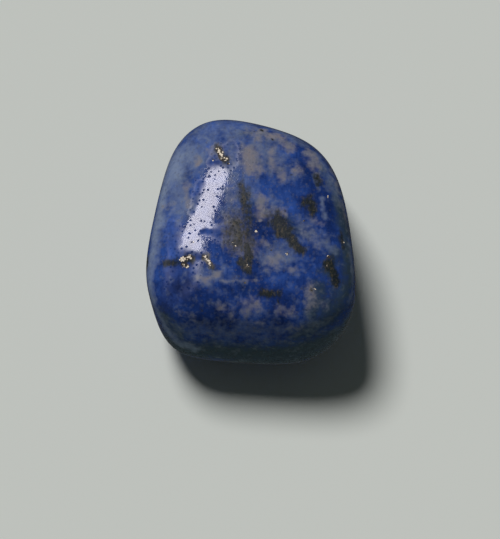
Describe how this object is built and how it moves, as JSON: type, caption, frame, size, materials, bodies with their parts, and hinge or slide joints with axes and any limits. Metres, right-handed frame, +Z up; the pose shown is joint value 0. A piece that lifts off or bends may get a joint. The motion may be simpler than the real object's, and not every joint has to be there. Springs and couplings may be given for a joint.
{
  "type": "tumbled lapis lazuli stone",
  "caption": "Tumbled and polished lapis lazuli pebble, a rounded wedge that rests on a small flat spot, deep blue with grey calcite and golden pyrite.",
  "frame": {"origin": "on the surface that the stone rests on, at the middle of the base of its bounding box", "axes": "+Z up out of the resting surface, +Y along the stone's longest side towards its narrow end, +X across it"},
  "size_m": [0.014, 0.017, 0.0095],
  "materials": {
    "lapis": "polished"
  },
  "bodies": {
    "root": {"stone": "lapis"}
  },
  "joints": []
}
